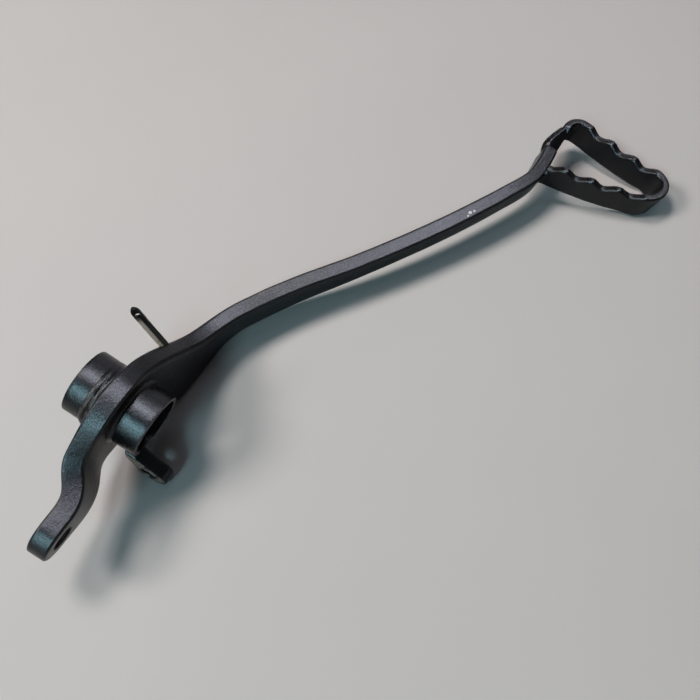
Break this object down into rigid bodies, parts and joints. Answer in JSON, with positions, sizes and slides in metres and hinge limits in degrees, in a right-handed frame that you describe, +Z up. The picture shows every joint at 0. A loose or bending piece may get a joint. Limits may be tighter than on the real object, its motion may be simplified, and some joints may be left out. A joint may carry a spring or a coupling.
{
  "type": "motorcycle rear brake pedal",
  "caption": "Black painted steel brake pedal: a pivot tube through a thick bent arm, with a short lever, a stop lug, a spring tab and a toothed foot loop.",
  "frame": {"origin": "middle of the pedal's box, on the floor that the pedal lies on", "axes": "+Z up from the floor; +X along the pedal from its lever eye towards its foot loop; the foot loop lies on the -Y side"},
  "size_m": [0.3142, 0.1922, 0.07],
  "materials": {
    "black_paint": "satin"
  },
  "bodies": {
    "root": {"pedal_arm": "black_paint", "pivot_tube": "black_paint", "foot_loop": "black_paint", "stop_lug": "black_paint", "spring_tab": "black_paint", "tube_weld_inboard": "black_paint", "tube_weld_outboard": "black_paint", "loop_weld_front": "black_paint", "loop_weld_rear": "black_paint"}
  },
  "joints": []
}
